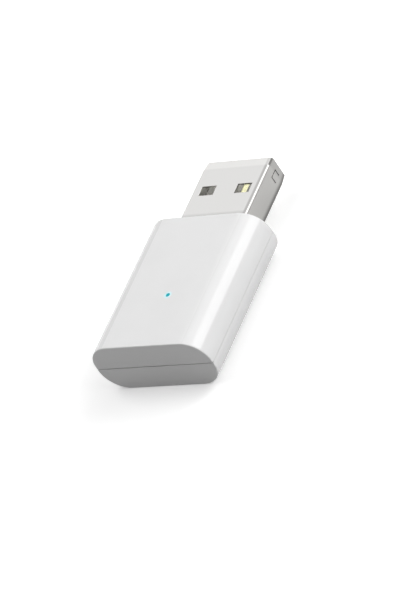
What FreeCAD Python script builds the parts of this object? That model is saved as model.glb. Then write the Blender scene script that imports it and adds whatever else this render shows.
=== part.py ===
import FreeCAD, Part
import os
import re
import Sketcher

# A USB stick repeater: two moulded half shells round a circuit board that carries a folded steel plug.
# Millimetres. +X runs across the stick, +Y along it towards the plug, +Z up through the face with the light.
# The origin is at the middle of the stick's length and width, on the plane that it lies on.

SIZES = {
    # housing
    "body_width": 20.4,
    "body_thickness": 8.7,
    "body_length": 25.2,
    "corner_round": 3.9,
    "edge_break": 0.15,
    "side_wall": 1.2,
    "end_wall": 1.2,
    "end_seam": 0.14,
    "side_seam": 0.05,
    "seam_depth": 0.3,
    "lip_thickness": 0.5,
    "lip_height": 0.7,
    "moulding_gap": 0.05,
    "boss_radius": 0.9,
    "boss_standoff": 0.2,
    "peg_radius": 0.45,
    "peg_length": 1.6,
    "peg_gap": 0.01,
    "peg_slack": 0.2,
    "rib_thickness": 0.9,
    "post_inset": 3.5,
    "rest_inset": 2.6,
    "saddle_width": 8.0,
    "stop_width": 4.0,
    "stop_lift": 0.75,
    "stop_gap": 0.1,
    # plug
    "plug_width": 12.0,
    "plug_height": 4.5,
    "plug_reach": 13.0,
    "plug_inside": 5.75,
    "sheet_gauge": 0.3,
    "fold_radius": 0.5,
    "lead_in_length": 1.5,
    "lead_in_drop": 0.12,
    "window_width": 2.55,
    "window_length": 1.85,
    "window_setback": 5.0,
    "window_spread": 3.175,
    "tab_setback": 1.05,
    "tab_length": 1.65,
    "tab_top": 0.71,
    "tab_drop": 1.31,
    "tab_slit": 0.17,
    "seam_slit": 0.08,
    "lock_setback": 8.2,
    "lock_length": 2.4,
    "lock_width": 1.3,
    "lock_flare": 0.3,
    "wing_length": 1.4,
    "wing_setback": 0.6,
    "leg_drop": 0.35,
    "socket_depth": 11.75,
    "tongue_drop": 0.35,
    "tongue_setback": 0.5,
    "tongue_gap": 0.05,
    "contact_width": 1.0,
    "contact_gauge": 0.25,
    "contact_recess": 0.1,
    "contact_gap": 0.03,
    "outer_contact_spread": 3.5,
    "inner_contact_spread": 1.0,
    "outer_contact_setback": 0.7,
    "inner_contact_setback": 1.7,
    "tail_length": 1.6,
    "tail_jog": 0.2,
    # circuit board
    "board_thickness": 0.8,
    "board_side_gap": 0.6,
    "board_end_gap": 0.5,
    "board_gap": 0.25,
    "board_corner": 0.4,
    # light
    "light_across": 0.6,
    "light_gap": 1.45,
    "light_hole_radius": 0.36,
    "light_skin": 0.5,
    "pipe_radius": 0.8,
    "pipe_boss_wall": 0.6,
    "pipe_boss_drop": 1.9,
    "pipe_air_gap": 0.15,
    "led_length": 1.6,
    "led_width": 0.8,
    "led_height": 0.6,
    "led_base_height": 0.3,
    "led_lens_length": 1.05,
    # parts on the upper side of the board
    "can_width": 9.6,
    "can_length": 5.7,
    "can_height": 1.6,
    "can_gauge": 0.15,
    "can_round": 0.4,
    "can_setback": 2.3,
    "can_gap_spread": 2.4,
    "can_gap_width": 0.6,
    "can_gap_height": 0.3,
    "vent_radius": 0.35,
    "vent_pitch": 1.8,
    "vent_setback": 1.9,
    "radio_size": 4.5,
    "radio_height": 0.85,
    "radio_offset": 1.9,
    "crystal_length": 2.5,
    "crystal_width": 2.0,
    "crystal_height": 0.7,
    "crystal_tray_height": 0.5,
    "crystal_lid_inset": 0.1,
    "crystal_offset": 2.7,
    "antenna_length": 3.2,
    "antenna_width": 1.6,
    "antenna_height": 1.1,
    "antenna_inset": 4.0,
    "antenna_setback": 1.1,
    "small_chip_length": 1.0,
    "small_chip_width": 0.5,
    "small_chip_height": 0.5,
    "matching_setback": 3.2,
    # parts on the lower side of the board
    "memory_length": 3.0,
    "memory_width": 4.4,
    "memory_height": 1.0,
    "memory_setback": 6.6,
    "memory_lead_pitch": 0.65,
    "memory_lead_width": 0.25,
    "regulator_length": 2.9,
    "regulator_width": 1.6,
    "regulator_height": 0.9,
    "regulator_spread": 3.9,
    "regulator_setback": 3.3,
    "transistor_lead_pitch": 0.95,
    "transistor_lead_width": 0.4,
    "lead_gauge": 0.15,
    "lead_reach": 0.65,
    "lead_foot": 0.35,
    "surge_setback": 3.3,
    "inductor_size": 2.5,
    "inductor_height": 0.95,
    "inductor_round": 0.4,
    "well_radius": 0.9,
    "core_radius": 0.68,
    "well_depth": 0.25,
    "inductor_spread": 4.6,
    "inductor_setback": 3.3,
    "big_chip_length": 2.0,
    "big_chip_width": 1.25,
    "big_chip_height": 0.9,
    "big_chip_spread": 4.6,
    "big_chip_setback": 6.4,
    "chip_cap": 0.25,
    "cap_proud": 0.03,
}
VENT_COUNT = 5
MEMORY_LEAD_COUNT = 4
TOLERANCE = 1e-6

doc = FreeCAD.newDocument("signal_repeater")
sheet = doc.addObject("Spreadsheet::Sheet", "sizes")
for row, (alias, value) in enumerate(SIZES.items(), start=1):
    sheet.set(f"A{row}", alias)
    sheet.set(f"B{row}", str(value))
    sheet.setAlias(f"B{row}", alias)
doc.recompute()

# Places that follow from the sizes, written as expressions.
NEAR = "(-(body_length + plug_reach) / 2)"
FACE = "((body_length - plug_reach) / 2)"
TIP = "((body_length + plug_reach) / 2)"
MID = "(body_thickness / 2)"
SEAT = f"({FACE} - plug_inside)"
PLUG_TOP = f"({MID} + plug_height / 2)"
PLUG_BASE = f"({MID} - plug_height / 2)"
TONGUE_TOP = f"({MID} - tongue_drop)"
CONTACT_TOP = f"({TONGUE_TOP} - contact_recess)"
CONTACT_BASE = f"({CONTACT_TOP} - contact_gauge)"
BOARD_TOP = f"({CONTACT_BASE} - tail_jog)"
BOARD_BASE = f"({BOARD_TOP} - board_thickness)"
BOARD_NEAR = f"({NEAR} + end_wall + board_end_gap)"
BOARD_EDGE = f"({SEAT} - board_gap)"
BOARD_SIDE = "(body_width / 2 - side_wall - board_side_gap)"
BAY_SIDE = "(plug_width / 2 + board_gap)"
LEG_X = f"(({BAY_SIDE} + {BOARD_SIDE}) / 2)"
BOSS_X = "(body_width / 2 - side_wall - boss_standoff - boss_radius)"
BOSS_NEAR = f"({NEAR} + end_wall + boss_standoff + boss_radius)"
BOSS_FAR = f"({FACE} - end_wall - boss_standoff - boss_radius)"
CAN_FAR = f"({BOARD_EDGE} - can_setback)"
CAN_NEAR = f"({CAN_FAR} - can_length)"
LIGHT_Y = f"({CAN_NEAR} - light_gap)"
ANTENNA_X = f"({BOARD_SIDE} - antenna_inset)"
LED_TOP = f"({BOARD_TOP} + led_height)"


def sized(text):
    """The expression with each size named by its cell in the sheet."""
    def cell(found):
        return f"sizes.{found[0]}" if found[0] in SIZES else found[0]

    return re.sub(r"[a-z][a-z_]*", cell, str(text))


def worth(text):
    """What the expression comes to, in millimetres."""
    return float(sheet.evalExpression(sized(text)))


def point(across, along, up=0):
    return FreeCAD.Vector(across, along, up)


def body_named(name):
    body = doc.addObject("PartDesign::Body", name)
    body.Label = name
    return body


def sketch_on(body, plane, height, name):
    """A sketch on one of the body's own origin planes, moved to the given height along +X, +Y or +Z."""
    sketch = body.newObject("Sketcher::SketchObject", f"{body.Name}_{name}")
    origin_plane = next(item for item in body.Origin.OriginFeatures if item.Role == plane)
    sketch.AttachmentSupport = [(origin_plane, "")]
    sketch.MapMode = "FlatFace"
    side = "-1" if plane == "XZ_Plane" else "1"
    sketch.setExpression("AttachmentOffset.Base.z", sized(f"{side} * {height}"))
    return sketch


def dimension(sketch, kind, line, end, text):
    """Hold one end of a line at a distance from the sketch's origin."""
    index = sketch.addConstraint(Sketcher.Constraint(kind, -1, 1, line, end, worth(text)))
    sketch.setExpression(f"Constraints[{index}]", sized(text))


def outline(sketch, sides, rounds=None):
    """A closed outline whose sides are upright and level by turns; rounds gives a corner's radius by the
    number of the side that runs into it."""
    rounds = rounds or {}
    count = len(sides)
    places = [worth(side) for side in sides]
    corners = []
    for index in range(count):
        pair = (places[index], places[(index + 1) % count])
        corners.append(point(*pair) if index % 2 == 0 else point(*reversed(pair)))
    runs = [(end - start).normalize() for start, end in zip(corners[-1:] + corners, corners)]
    starts = [corners[i - 1] + runs[i] * worth(rounds.get((i - 1) % count, 0)) for i in range(count)]
    ends = [corners[i] - runs[i] * worth(rounds.get(i, 0)) for i in range(count)]
    lines = [sketch.addGeometry(Part.LineSegment(*pair), False) for pair in zip(starts, ends)]
    for index, line in enumerate(lines):
        upright = index % 2 == 0
        sketch.addConstraint(Sketcher.Constraint("Vertical" if upright else "Horizontal", line))
        dimension(sketch, "DistanceX" if upright else "DistanceY", line, 1, sides[index])
    for index, line in enumerate(lines):
        following = (index + 1) % count
        if index not in rounds:
            sketch.addConstraint(Sketcher.Constraint("Coincident", line, 2, lines[following], 1))
            continue
        radius = worth(rounds[index])
        centre = corners[index] + (runs[following] - runs[index]) * radius
        ring = Part.Circle(centre, point(0, 0, 1), radius)
        left_turn = runs[index].cross(runs[following]).z > 0
        first, last = (1, 2) if left_turn else (2, 1)
        rim = (ends[index], starts[following]) if left_turn else (starts[following], ends[index])
        angles = [ring.parameter(place) for place in rim]
        arc = sketch.addGeometry(Part.ArcOfCircle(ring, *angles), False)
        sketch.addConstraint(Sketcher.Constraint("Tangent", line, 2, arc, first))
        sketch.addConstraint(Sketcher.Constraint("Tangent", arc, last, lines[following], 1))
        bound = sketch.addConstraint(Sketcher.Constraint("Radius", arc, radius))
        sketch.setExpression(f"Constraints[{bound}]", sized(rounds[index]))


def polygon(sketch, corners):
    """A closed outline of straight lines through corners given as pairs of expressions."""
    places = [point(worth(across), worth(up)) for across, up in corners]
    lines = []
    for start, end in zip(places, places[1:] + places[:1]):
        lines.append(sketch.addGeometry(Part.LineSegment(start, end), False))
    for index, line in enumerate(lines):
        sketch.addConstraint(Sketcher.Constraint("Coincident", lines[index - 1], 2, line, 1))
        dimension(sketch, "DistanceX", line, 1, corners[index][0])
        dimension(sketch, "DistanceY", line, 1, corners[index][1])


def circle(sketch, across, up, radius):
    centre = point(worth(across), worth(up))
    ring = sketch.addGeometry(Part.Circle(centre, point(0, 0, 1), worth(radius)), False)
    dimension(sketch, "DistanceX", ring, 3, across)
    dimension(sketch, "DistanceY", ring, 3, up)
    bound = sketch.addConstraint(Sketcher.Constraint("Radius", ring, worth(radius)))
    sketch.setExpression(f"Constraints[{bound}]", sized(radius))


def extruded(sketch, kind, length, back):
    body = sketch.getParentGeoFeatureGroup()
    made = body.newObject(f"PartDesign::{kind}", f"{sketch.Name}_{kind.lower()}")
    made.Profile = sketch
    made.setExpression("Length", sized(length))
    made.Reversed = back
    body.Tip = made
    return made


def pad(sketch, length, back=False):
    """Material along the sketch's normal: +Z, -Y or +X for the three planes, or the other way with back."""
    return extruded(sketch, "Pad", length, back)


def pocket(sketch, length, back=False):
    """A cut against the sketch's normal: -Z, +Y or -X for the three planes, or the other way with back."""
    return extruded(sketch, "Pocket", length, back)


def loft(profile, section, kind):
    body = profile.getParentGeoFeatureGroup()
    made = body.newObject(f"PartDesign::{kind}", f"{profile.Name}_loft")
    made.Profile = profile
    made.Sections = [section]
    made.Ruled = True
    body.Tip = made
    return made


def repeated(body, kind, originals, role, length=None, count=None):
    """Mirror features in an origin plane, or repeat them along an origin axis."""
    made = body.newObject(f"PartDesign::{kind}", f"{originals[-1].Name}_{kind.lower()}")
    made.Originals = originals
    reference = next(item for item in body.Origin.OriginFeatures if item.Role == role)
    if kind == "Mirrored":
        made.MirrorPlane = (reference, [""])
    else:
        made.Direction = (reference, [""])
        made.Mode = "Extent"
        made.setExpression("Length", sized(length))
        made.Occurrences = count
    body.Tip = made
    return made


def edges_where(shape, test):
    return [f"Edge{index}" for index, edge in enumerate(shape.Edges, start=1) if test(edge)]


def dressed(body, kind, size, test):
    """A fillet or chamfer on each edge of the body so far that passes the test."""
    doc.recompute()
    base = body.Tip
    made = body.newObject(f"PartDesign::{kind}", f"{base.Name}_{kind.lower()}")
    made.Base = (base, edges_where(base.Shape, test))
    made.setExpression("Radius" if kind == "Fillet" else "Size", sized(size))
    body.Tip = made
    return made


def block(name, low, high):
    """A Part box between two corners given as expressions."""
    made = doc.addObject("Part::Box", name)
    for side, near, far in zip(("Length", "Width", "Height"), low, high):
        made.setExpression(side, sized(f"({far}) - ({near})"))
    for axis, near in zip("xyz", low):
        made.setExpression(f"Placement.Base.{axis}", sized(near))
    return made


def fused(name, pieces):
    made = doc.addObject("Part::MultiFuse", name)
    made.Shapes = pieces
    made.Refine = True
    made.Label = name
    return made


def mirrored_ring(sketch, half_width, near, far):
    """A plain rectangle that is centred across the stick."""
    outline(sketch, [f"-({half_width})", far, half_width, near])


# Housing. Each half is one moulding of white ABS: a shell with the rounded section of the stick, a rim with
# a lip or its rebate, corner bosses that peg together, ribs for the board and half of the slot for the plug.

def half_shell(name, upper):
    body = body_named(name)
    outer = "body_thickness" if upper else "0"
    inner = "body_thickness - side_wall" if upper else "side_wall"
    section = sketch_on(body, "XZ_Plane", FACE, "section")
    corners = {0: "corner_round", 1: "corner_round"}
    outline(section, ["-body_width / 2", outer, "body_width / 2", MID], corners)
    pad(section, "body_length")

    def on_end_rim(edge):
        middle = edge.BoundBox.Center
        at_end = edge.BoundBox.YLength < TOLERANCE
        return at_end and abs(middle.z - worth(MID)) > TOLERANCE

    dressed(body, "Fillet", "edge_break", on_end_rim)
    cavity = sketch_on(body, "XZ_Plane", f"({NEAR} + end_wall)", "cavity")
    inner_round = "corner_round - side_wall"
    half = "body_width / 2 - side_wall"
    outline(cavity, [f"-({half})", inner, half, MID], {0: inner_round, 1: inner_round})
    pocket(cavity, "body_length - 2 * end_wall")

    end_strips = {"near": (f"{NEAR} - end_wall", f"{NEAR} + seam_depth"),
                  "far": (f"{FACE} - seam_depth", f"{FACE} + end_wall")}
    for end, (low, high) in end_strips.items():
        strip = sketch_on(body, "XY_Plane", MID, f"end_seam_{end}")
        mirrored_ring(strip, "body_width", low, high)
        pocket(strip, "end_seam / 2", back=upper)
    for side in (-1, 1):
        strip = sketch_on(body, "XY_Plane", MID, f"side_seam_{'left' if side < 0 else 'right'}")
        rim = f"{side} * (body_width / 2 - seam_depth)"
        beyond = f"{side} * body_width"
        low, high = sorted((rim, beyond), key=worth)
        outline(strip, [low, f"{FACE} + end_wall", high, f"{NEAR} - end_wall"])
        pocket(strip, "side_seam / 2", back=upper)
    return body


def plug_slot(body):
    slot = sketch_on(body, "XZ_Plane", FACE, "plug_slot")
    half = "plug_width / 2 + moulding_gap"
    rounds = dict.fromkeys(range(4), "fold_radius + moulding_gap")
    top = f"{PLUG_TOP} + moulding_gap"
    outline(slot, [f"-({half})", top, half, f"{PLUG_BASE} - moulding_gap"], rounds)
    pocket(slot, "end_wall", back=True)


def four_circles(body, height, name, radius):
    sketch = sketch_on(body, "XY_Plane", height, name)
    for side in (-1, 1):
        for along in (BOSS_NEAR, BOSS_FAR):
            circle(sketch, f"{side} * {BOSS_X}", along, radius)
    return sketch


def cross_rib(body, name, low, high, half_width, from_height, to_height):
    """A rib across the stick between two places along it."""
    rib = sketch_on(body, "XY_Plane", from_height, name)
    mirrored_ring(rib, half_width, low, high)
    pad(rib, f"{to_height} - ({from_height})")


def upper_shell():
    body = half_shell("upper_shell", upper=True)
    ceiling = "(body_thickness - side_wall)"
    lip = sketch_on(body, "XY_Plane", MID, "lip")
    inside = "body_width / 2 - side_wall"
    mirrored_ring(lip, inside, f"{NEAR} + end_wall", f"{FACE} - end_wall")
    near_lip = f"{NEAR} + end_wall - lip_thickness"
    mirrored_ring(lip, f"{inside} + lip_thickness", near_lip, f"{FACE} - end_wall + lip_thickness")
    pad(lip, "lip_height", back=True)
    plug_slot(body)

    pad(four_circles(body, MID, "bosses", "boss_radius"), f"{ceiling} - {MID}")
    pad(four_circles(body, MID, "pegs", "peg_radius"), "peg_length", back=True)

    posts = sketch_on(body, "XY_Plane", BOARD_TOP, "board_posts")
    for side in (-1, 1):
        edges = sorted((f"{side} * ({BOSS_X} - rib_thickness)", f"{side} * {BOSS_X}"), key=worth)
        for along in (f"{BOARD_NEAR} + post_inset", f"{BOARD_EDGE} - post_inset"):
            outline(posts, [edges[0], f"{along} + rib_thickness", edges[1], f"{along} - rib_thickness"])
    pad(posts, f"{ceiling} - {BOARD_TOP}")

    clamp = f"({FACE} - end_wall - 2 * rib_thickness)"
    cross_rib(body, "clamp_rib", clamp, f"{clamp} + rib_thickness", "saddle_width / 2", PLUG_TOP, ceiling)
    stop = f"({SEAT} - stop_gap)"
    low = f"{MID} + stop_lift"
    cross_rib(body, "plug_stop", f"{stop} - rib_thickness", stop, "saddle_width / 2", low, ceiling)

    boss = sketch_on(body, "XY_Plane", f"({ceiling} - pipe_boss_drop)", "pipe_boss")
    circle(boss, "light_across", LIGHT_Y, "pipe_radius + pipe_boss_wall")
    pad(boss, "pipe_boss_drop + side_wall / 2")
    bore = sketch_on(body, "XY_Plane", "(body_thickness - light_skin)", "pipe_bore")
    circle(bore, "light_across", LIGHT_Y, "pipe_radius + moulding_gap / 2")
    pocket(bore, "body_thickness / 2")
    hole = sketch_on(body, "XY_Plane", "body_thickness", "light_hole")
    circle(hole, "light_across", LIGHT_Y, "light_hole_radius")
    pocket(hole, "side_wall")
    return body


def lower_shell():
    body = half_shell("lower_shell", upper=False)
    rebate = sketch_on(body, "XY_Plane", MID, "rebate")
    reach = "lip_thickness + moulding_gap"
    near = f"{NEAR} + end_wall - ({reach})"
    mirrored_ring(rebate, f"body_width / 2 - side_wall + {reach}", near, f"{FACE} - end_wall + {reach}")
    pocket(rebate, "lip_height + moulding_gap")
    plug_slot(body)

    pad(four_circles(body, "side_wall", "bosses", "boss_radius"), f"{MID} - side_wall")
    pocket(four_circles(body, MID, "sockets", "peg_radius + peg_gap"), "peg_length + peg_slack")

    rests = sketch_on(body, "XY_Plane", "side_wall", "board_rests")
    for side in (-1, 1):
        edges = sorted((f"{side} * ({BOSS_X} - rib_thickness)", f"{side} * {BOSS_X}"), key=worth)
        outline(rests, [edges[0], f"{BOARD_EDGE} - rib_thickness", edges[1], f"{BOARD_NEAR} + rest_inset"])
    pad(rests, f"{BOARD_BASE} - side_wall")

    saddle = f"({FACE} - end_wall - 2 * rib_thickness)"
    rear = f"({SEAT} + rib_thickness)"
    for name, low in (("front_saddle", saddle), ("rear_saddle", rear)):
        high = f"{low} + rib_thickness"
        cross_rib(body, name, low, high, "saddle_width / 2", "side_wall", PLUG_BASE)
    stop = f"({SEAT} - stop_gap)"
    top = f"({BOARD_BASE} - stop_gap)"
    cross_rib(body, "plug_stop", f"{stop} - rib_thickness", stop, "stop_width / 2", "side_wall", top)
    return body


def light_pipe():
    """A turned step pin of clear acrylic, pressed up into its boss until the shoulder meets the skin."""
    body = body_named("light_pipe")
    profile = sketch_on(body, "XZ_Plane", LIGHT_Y, "profile")
    shoulder = "(body_thickness - light_skin)"
    foot = f"({LED_TOP} + pipe_air_gap)"
    tip = "body_thickness - moulding_gap / 2"
    rim = "light_across + pipe_radius"
    stem = "light_across + light_hole_radius - moulding_gap / 2"
    outline(profile, ["light_across", tip, stem, shoulder, rim, foot])
    turned = body.newObject("PartDesign::Revolution", "light_pipe_turned")
    turned.Profile = profile
    turned.ReferenceAxis = (profile, ["Edge1"])
    turned.Angle = 360
    body.Tip = turned
    return body


# Plug. A blank of 0.3 mm steel folded into a tube, its edges locked by a dovetail underneath; a moulded
# insulator slides in from behind and carries four gilt strips, whose tails are soldered to the board.

def plug_section(body, plane_place, name, inset):
    """The folded section of the plug, inset from its outside."""
    sketch = sketch_on(body, "XZ_Plane", plane_place, name)
    half = f"plug_width / 2 - ({inset})"
    radius = "fold_radius" if name.startswith("outer") else "fold_radius - sheet_gauge"
    rounds = dict.fromkeys(range(4), radius)
    outline(sketch, [f"-({half})", f"{PLUG_TOP} - ({inset})", half, f"{PLUG_BASE} + ({inset})"], rounds)
    return sketch


def plug_shell():
    body = body_named("plug_shell")
    bend = f"({TIP} - lead_in_length)"
    straight = "plug_reach + plug_inside - lead_in_length"
    outer = plug_section(body, bend, "outer", "0")
    pad(outer, straight)
    loft(plug_section(body, bend, "outer_bend", "0"), plug_section(body, TIP, "outer_tip", "lead_in_drop"),
         "AdditiveLoft")
    pocket(plug_section(body, bend, "bore", "sheet_gauge"), straight, back=True)
    loft(plug_section(body, bend, "bore_bend", "sheet_gauge"),
         plug_section(body, TIP, "bore_tip", "sheet_gauge + lead_in_drop"), "SubtractiveLoft")

    windows = sketch_on(body, "XY_Plane", PLUG_TOP, "windows")
    far = f"{TIP} - window_setback"
    for side in (-1, 1):
        centre = f"{side} * window_spread"
        left, right = f"{centre} - window_width / 2", f"{centre} + window_width / 2"
        outline(windows, [left, far, right, f"{far} - window_length"])
    pocket(windows, "plug_height")

    slits = sketch_on(body, "YZ_Plane", "(plug_width / 2)", "tab_slits")
    front, rear = f"{TIP} - tab_setback", f"{TIP} - tab_setback - tab_length"
    top, foot = f"{MID} + tab_top", f"{MID} + tab_top - tab_drop"
    outline(slits, [rear, top, front, foot, f"{front} - tab_slit", f"{top} - tab_slit",
                    f"{rear} + tab_slit", foot])
    pocket(slits, "plug_width")

    seam = sketch_on(body, "XY_Plane", PLUG_BASE, "seam")
    slack = "seam_slit / 2"
    lock = f"({TIP} - lock_setback)"
    left_side = [(f"-{slack}", f"{TIP} + lead_in_length"),
                 (f"-{slack}", f"{lock} - {slack}"),
                 (f"lock_width - {slack}", f"{lock} + lock_flare - {slack}"),
                 (f"lock_width - {slack}", f"{lock} - lock_length - lock_flare + {slack}"),
                 (f"-{slack}", f"{lock} - lock_length + {slack}"),
                 (f"-{slack}", f"{SEAT} - sheet_gauge")]
    right_side = [(slack, f"{SEAT} - sheet_gauge"),
                  (slack, f"{lock} - lock_length - {slack}"),
                  (f"lock_width + {slack}", f"{lock} - lock_length - lock_flare - {slack}"),
                  (f"lock_width + {slack}", f"{lock} + lock_flare + {slack}"),
                  (slack, f"{lock} + {slack}"),
                  (slack, f"{TIP} + lead_in_length")]
    polygon(seam, left_side + right_side)
    pocket(seam, "sheet_gauge + lead_in_drop", back=True)

    rear = f"({SEAT} + wing_setback)"
    relief = sketch_on(body, "YZ_Plane", "(plug_width / 2)", "wing_relief")
    outline(relief, [rear, f"{PLUG_TOP} - 2 * fold_radius", f"{rear} + wing_length",
                     f"{BOARD_TOP} + sheet_gauge"])
    pocket(relief, "plug_width")
    wing = sketch_on(body, "XZ_Plane", f"({rear} + wing_length)", "wing")
    side = "plug_width / 2 - sheet_gauge"
    reach = f"{LEG_X} + sheet_gauge / 2"
    outline(wing, [side, f"{BOARD_TOP} + sheet_gauge", reach, f"{BOARD_BASE} - leg_drop",
                   f"{reach} - sheet_gauge", BOARD_TOP], {1: "sheet_gauge"})
    bent = pad(wing, "wing_length")
    repeated(body, "Mirrored", [bent], "YZ_Plane")
    return body


CONTACTS = {
    "contact_vbus": ("(-1 * outer_contact_spread)", "outer_contact_setback"),
    "contact_data_minus": ("(-1 * inner_contact_spread)", "inner_contact_setback"),
    "contact_data_plus": ("inner_contact_spread", "inner_contact_setback"),
    "contact_ground": ("outer_contact_spread", "outer_contact_setback"),
}


def plug_insulator():
    """Moulded in one: the block that fills the back of the plug, and the tongue with its four grooves."""
    body = body_named("plug_insulator")
    half = "plug_width / 2 - sheet_gauge - tongue_gap"
    floor = f"{PLUG_BASE} + sheet_gauge"
    front = f"({TIP} - socket_depth)"
    bend = f"({TIP} - lead_in_length)"
    corners = {2: "fold_radius - sheet_gauge / 2", 3: "fold_radius - sheet_gauge / 2"}
    all_corners = dict.fromkeys(range(4), "fold_radius - sheet_gauge / 2")

    rear_block = sketch_on(body, "XZ_Plane", front, "block")
    outline(rear_block, [f"-({half})", f"{PLUG_TOP} - sheet_gauge", half, floor], all_corners)
    pad(rear_block, f"{front} - {SEAT} - tongue_gap")
    tongue = sketch_on(body, "XZ_Plane", bend, "tongue")
    outline(tongue, [f"-({half})", TONGUE_TOP, half, floor], corners)
    pad(tongue, f"{bend} - {front}")
    nose_root = sketch_on(body, "XZ_Plane", bend, "nose_root")
    outline(nose_root, [f"-({half})", TONGUE_TOP, half, floor], corners)
    nose = sketch_on(body, "XZ_Plane", f"({TIP} - tongue_setback)", "nose")
    slim = f"({half} - lead_in_drop)"
    outline(nose, [f"-{slim}", TONGUE_TOP, slim, f"{floor} + lead_in_drop"], corners)
    loft(nose_root, nose, "AdditiveLoft")

    grooves = sketch_on(body, "XY_Plane", TONGUE_TOP, "grooves")
    tunnels = sketch_on(body, "XZ_Plane", f"({SEAT} - tongue_gap)", "tunnels")
    for across, setback in CONTACTS.values():
        reach = "contact_width / 2 + contact_gap"
        left, right = f"{across} - ({reach})", f"{across} + {reach}"
        end = f"{TIP} - tongue_setback - {setback} + contact_gap"
        outline(grooves, [left, end, right, front])
        outline(tunnels, [left, f"{CONTACT_TOP} + contact_gap", right, CONTACT_BASE])
    pocket(grooves, "contact_recess + contact_gauge")
    pocket(tunnels, f"{front} - {SEAT} + 2 * tongue_gap")
    return body


def contact(name, across, setback):
    """A stamped strip, coined at its front end, with a jog down to the tail on the board."""
    body = body_named(name)
    side = sketch_on(body, "YZ_Plane", f"({across} - contact_width / 2)", "side")
    front = f"{TIP} - tongue_setback - {setback}"
    bend = f"{SEAT} - tail_jog / 2"
    foot = f"{SEAT} - 2 * tail_jog"
    polygon(side, [(front, CONTACT_BASE),
                   (f"{front} - contact_gauge / 2", CONTACT_TOP),
                   (bend, CONTACT_TOP),
                   (foot, f"{BOARD_TOP} + contact_gauge"),
                   (f"{SEAT} - tail_length - 2 * tail_jog", f"{BOARD_TOP} + contact_gauge"),
                   (f"{SEAT} - tail_length - 2 * tail_jog", BOARD_TOP),
                   (foot, BOARD_TOP),
                   (bend, CONTACT_BASE)])
    pad(side, "contact_width")
    return body


# Circuit board and what is soldered to it.

def main_board():
    """Glass-epoxy, routed with a bay for the plug, two arms beside it and cut-outs for the pegged bosses."""
    body = body_named("main_board")
    plan = sketch_on(body, "XY_Plane", BOARD_BASE, "plan")
    waist = f"{BOSS_X} - boss_radius - board_gap"
    shoulder = f"{BOSS_NEAR} + boss_radius + board_gap"
    arm = f"{BOSS_FAR} - boss_radius - board_gap"
    outline(plan, [f"-{BOARD_SIDE}", arm, f"-{BAY_SIDE}", BOARD_EDGE, BAY_SIDE, arm, BOARD_SIDE, shoulder,
                   waist, BOARD_NEAR, f"-({waist})", shoulder],
            {0: "board_corner", 1: "board_corner", 4: "board_corner", 5: "board_corner", 6: "board_corner",
             8: "board_corner", 9: "board_corner", 11: "board_corner"})
    pad(plan, "board_thickness")
    slots = sketch_on(body, "XY_Plane", BOARD_TOP, "leg_slots")
    rear = f"{SEAT} + wing_setback"
    for side in (-1, 1):
        slack = "(sheet_gauge / 2 + moulding_gap)"
        edges = (f"{side} * {LEG_X} - {slack}", f"{side} * {LEG_X} + {slack}")
        far, near = f"{rear} + wing_length + moulding_gap", f"{rear} - moulding_gap"
        outline(slots, [edges[0], far, edges[1], near])
    pocket(slots, "board_thickness")
    return body


def radio_shield_can():
    """Drawn from tinned steel, open underneath, with a row of vents and a gap in each long side."""
    body = body_named("radio_shield_can")
    plan = sketch_on(body, "XY_Plane", BOARD_TOP, "plan")
    rounds = dict.fromkeys(range(4), "can_round")
    outline(plan, ["-can_width / 2", CAN_FAR, "can_width / 2", CAN_NEAR], rounds)
    pad(plan, "can_height")
    inside = sketch_on(body, "XY_Plane", BOARD_TOP, "inside")
    inner_rounds = dict.fromkeys(range(4), "can_round - can_gauge")
    outline(inside, ["-can_width / 2 + can_gauge", f"{CAN_FAR} - can_gauge", "can_width / 2 - can_gauge",
                     f"{CAN_NEAR} + can_gauge"], inner_rounds)
    pocket(inside, "can_height - can_gauge", back=True)
    gaps = sketch_on(body, "XZ_Plane", CAN_NEAR, "side_gaps")
    for side in (-1, 1):
        middle = f"{side} * can_gap_spread"
        left, right = f"{middle} - can_gap_width / 2", f"{middle} + can_gap_width / 2"
        outline(gaps, [left, f"{BOARD_TOP} + can_gap_height", right, BOARD_TOP])
    pocket(gaps, "can_length")
    vent = sketch_on(body, "XY_Plane", f"({BOARD_TOP} + can_height)", "vent")
    row = f"({VENT_COUNT - 1} * vent_pitch)"
    circle(vent, f"-{row} / 2", f"{CAN_FAR} - vent_setback", "vent_radius")
    hole = pocket(vent, "2 * can_gauge")
    repeated(body, "LinearPattern", [hole], "X_Axis", row, VENT_COUNT)
    return body


def on_board(name, across, along, length, width, height, upper=True):
    """A box on the board, centred across and along."""
    base = BOARD_TOP if upper else f"({BOARD_BASE} - {height})"
    return block(name, (f"{across} - {length} / 2", f"{along} - {width} / 2", base),
                 (f"{across} + {length} / 2", f"{along} + {width} / 2", f"{base} + {height}"))


def flat_chip(name, across, along, length, width, height):
    """A flat moulded chip with a bevelled first corner."""
    box = on_board(f"{name}_block", across, along, length, width, height)
    doc.recompute()
    low = box.Shape.BoundBox

    def first_corner(edge):
        middle = edge.BoundBox.Center
        return abs(middle.x - low.XMin) < TOLERANCE and abs(middle.y - low.YMin) < TOLERANCE

    bevel = doc.addObject("Part::Chamfer", name)
    bevel.Base = box
    cut = worth(f"{height} / 2")
    bevel.Edges = [(int(edge[4:]), cut, cut) for edge in edges_where(box.Shape, first_corner)]
    bevel.Label = name
    return bevel


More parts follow.
